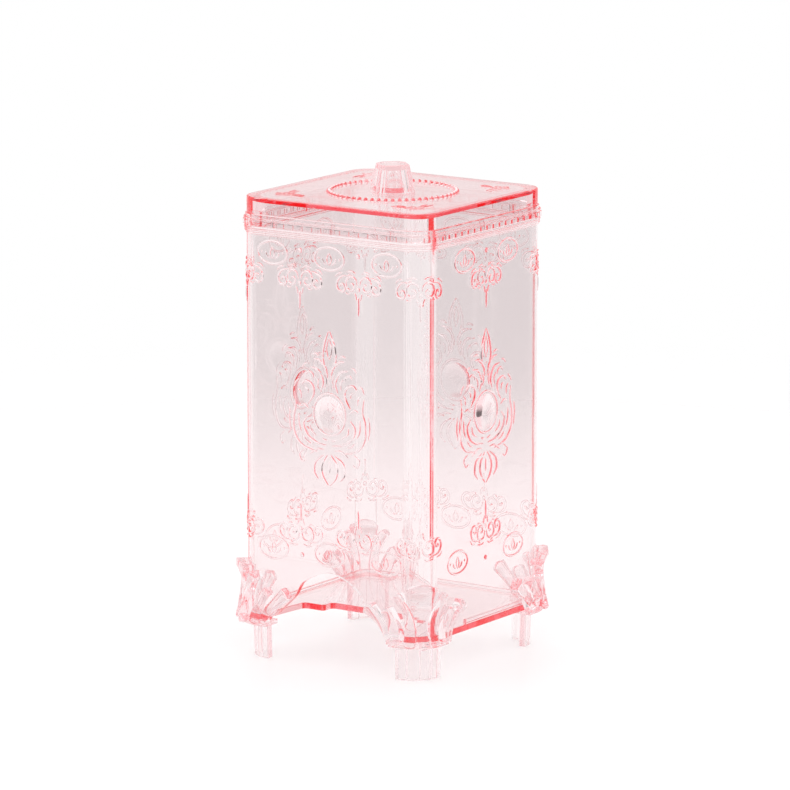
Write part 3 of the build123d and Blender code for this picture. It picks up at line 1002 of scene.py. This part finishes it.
def legOutline(radius):
    f = footForm
    arrises = np.linspace(0, math.pi / 2, f["legFacets"] + 1)
    part = f["grooveWide"] / 2 / radius
    marks = [(radius, arrises[0])]
    for a in arrises[1:-1]:
        marks += [(radius, a - part), (radius - f["grooveDeep"], a), (radius, a + part)]
    marks += [(radius, arrises[-1])] + [(radius - f["legThick"], a) for a in reversed(arrises)]
    return [(f["legCentre"] + r * math.cos(a), f["legCentre"] + r * math.sin(a)) for r, a in marks]


def turnOut(thing):  # all faces look outwards
    work = bmesh.new()
    work.from_mesh(thing.data)
    bmesh.ops.recalc_face_normals(work, faces=work.faces[:])
    work.to_mesh(thing.data)
    work.free()
    return thing


def footTools():
    tools = []
    for leaf in leaves:
        for mirrored in (False, True) if leaf["run"] else (False,):
            tools.append(("UNION", leafMesh(leaf, mirrored)))
    clear = slab(outlineRing(footForm["seam"]), footForm["flangeTop"], wallForm["rim"])
    return tools + [("UNION", flangeMesh()), ("DIFFERENCE", clear)]


def leafFoot(name):  # foot of the rear right corner
    f = footForm
    leg = loft(legOutline(f["legFootRadius"]), legOutline(f["legRadius"]), 0.0, f["legTop"])
    foot = turnOut(meshObject(name, *leg))
    helpers = []
    for operation, shape in footTools():
        helpers.append(turnOut(meshObject("helper", *shape)))
        step = foot.modifiers.new(operation, "BOOLEAN")
        step.operation, step.solver, step.object = operation, "MANIFOLD", helpers[-1]
    freeze(foot)
    for helper in helpers:
        bpy.data.objects.remove(helper)
    smoothShade(foot, f["smooth"])
    for edge in foot.data.edges:  # the leg's upright arrises stay crisp
        low, top = sorted(foot.data.vertices[i].co.z for i in edge.vertices)
        edge.use_edge_sharp = edge.use_edge_sharp or top - low > f["upright"] * mm
    foot.data.materials.clear()
    foot.data.materials.append(palePlastic)
    faces = [list(p.vertices) for p in foot.data.polygons]
    print("foot:", len(faces), "faces,", openEdges(faces), "open edges")
    return foot


footNames = ("rearRightLeafFoot", "rearLeftLeafFoot", "frontLeftLeafFoot", "frontRightLeafFoot")
footNodes = ("rear_right_foot", "rear_left_foot", "front_left_foot", "front_right_foot")
feet = [leafFoot(footNames[0])]
for quarter in (1, 2, 3):
    mesh = feet[0].data.copy()
    mesh.transform(Matrix.Rotation(quarter * math.pi / 2, 4, "Z"))
    feet.append(newObject(footNames[quarter], mesh))
for piece, node in zip(feet, footNodes):
    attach(piece, "box")
    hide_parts(node)


# camera at the photograph's angle
view = dict(turn=34.24, lift=11.23, target=(0, 0, 0.09), distance=2.069, lens=262.4, sensor=36.0,
            shift=(0.0028, 0.011), clip=(0.01, 50.0))


def buildCamera():
    a, e = math.radians(view["turn"]), math.radians(view["lift"])
    back = Vector((math.sin(a) * math.cos(e), -math.cos(a) * math.cos(e), math.sin(e)))
    data = bpy.data.cameras.new("photoView")
    data.lens, data.sensor_width = view["lens"], view["sensor"]
    data.shift_x, data.shift_y = view["shift"]
    data.clip_start, data.clip_end = view["clip"]
    camera = newObject("photoView", data)
    camera.location = Vector(view["target"]) + back * view["distance"]
    camera.rotation_euler = (-back).to_track_quat("-Z", "Y").to_euler()
    bpy.context.scene.camera = camera


# stage: pale floor that fades out, soft top light
floorForm = dict(radius=0.62, clear=0.17, drop=0.0002, segments=128, grain=9.0, grainDetail=2.0,
                 rough=0.3, gloss=0.25, pale=(0.93, 0.93, 0.93, 1), paler=(0.95, 0.945, 0.945, 1))
topLight = dict(power=4.6, size=1.2, height=1.3)


def buildFloor():
    f = floorForm
    work = bmesh.new()
    bmesh.ops.create_circle(work, cap_ends=True, radius=f["radius"], segments=f["segments"])
    bmesh.ops.translate(work, verts=work.verts, vec=(0, 0, -f["drop"]))
    mesh = bpy.data.meshes.new("paleFloor")
    work.to_mesh(mesh)
    work.free()
    floor = newObject("paleFloor", mesh)
    material = bpy.data.materials.new("paleFloor")
    s = emptyNodes(material)
    place = s.node("ShaderNodeTexCoord", out="Object")
    grain = s.node("ShaderNodeTexNoise", Vector=place, Scale=f["grain"], Detail=f["grainDetail"])
    colour = s.node("ShaderNodeMix", {"data_type": "RGBA"}, out=2, i0=grain, i6=f["pale"], i7=f["paler"])
    shader = s.node("ShaderNodeBsdfPrincipled", Base_Color=colour, Roughness=f["rough"],
                    Specular_IOR_Level=f["gloss"])
    away = s.node("ShaderNodeVectorMath", {"operation": "LENGTH"}, out="Value", i0=place)
    fade = s.node("ShaderNodeMapRange", {"interpolation_type": "SMOOTHSTEP"}, Value=away, From_Min=f["clear"],
                  From_Max=f["radius"])
    clear = s.node("ShaderNodeBsdfTransparent")
    s.node("ShaderNodeOutputMaterial", Surface=s.node("ShaderNodeMixShader", i0=fade, i1=shader, i2=clear))
    mesh.materials.append(material)


def buildTopLight():
    lamp = bpy.data.lights.new("topSoftbox", "AREA")
    lamp.shape, lamp.size, lamp.energy = "DISK", topLight["size"], topLight["power"]
    box = newObject("topSoftbox", lamp)
    box.location = (0, 0, topLight["height"])
    box.visible_camera = False


# white studio with two dim patches that the walls mirror, and a pink one that the lid mirrors
studio = dict(core=7.0, edge=14.0, dim=0.1, bright=1.0, white=(1, 1, 1, 1), pink=(0.92, 0.79, 0.79, 1),
              shallowFrom=7.0, shallowTo=9.0)


def buildWorld():
    w, world = studio, bpy.data.worlds.new("studio")
    bpy.context.scene.world = world
    s = emptyNodes(world)
    turn, fall = math.radians(view["turn"]), math.radians(view["lift"])

    def along(vector):
        return s.node("ShaderNodeVectorMath", {"operation": "DOT_PRODUCT"}, out="Value", i0=way, i1=vector)

    def patch(aim):  # 1 in its core, 0 past its edge
        return s.node("ShaderNodeMapRange", {"interpolation_type": "SMOOTHSTEP"}, Value=aim,
                      From_Min=math.cos(math.radians(w["edge"])), From_Max=math.cos(math.radians(w["core"])))

    way = s.node("ShaderNodeTexCoord", out="Generated")
    up = s.node("ShaderNodeSeparateXYZ", out="Z", i0=way)
    beside = s.maths("ABSOLUTE", along((math.sin(turn), math.cos(turn), 0.0)))
    dimmed = patch(beside * math.cos(fall) - up * math.sin(fall))
    behind = (-math.sin(turn) * math.cos(fall), math.cos(turn) * math.cos(fall), math.sin(fall))
    blushed = patch(along(behind))
    seen = s.node("ShaderNodeLightPath", out="Is Camera Ray")
    depth = s.node("ShaderNodeLightPath", out="Ray Depth")
    shallow = s.node("ShaderNodeMapRange", Value=depth, From_Min=w["shallowFrom"], From_Max=w["shallowTo"],
                     To_Min=1.0, To_Max=0.0)
    reach = shallow * (1.0 - seen)
    level = w["bright"] - dimmed * reach * (w["bright"] - w["dim"])
    colour = s.node("ShaderNodeMix", {"data_type": "RGBA"}, out=2, i0=blushed * reach, i6=w["white"],
                    i7=w["pink"])
    s.node("ShaderNodeOutputWorld", Surface=s.node("ShaderNodeBackground", Color=colour, Strength=level))


bounces = 220  # light runs a long way inside clear walls
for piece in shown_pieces():
    piece.visible_shadow = False  # clear plastic throws next to no shade
buildFloor()
buildWorld()
buildTopLight()
buildCamera()
scene = bpy.context.scene
scene.view_settings.view_transform = "Standard"
scene.cycles.max_bounces = bounces
scene.cycles.transmission_bounces = bounces
scene.cycles.glossy_bounces = bounces
print("stage ready")
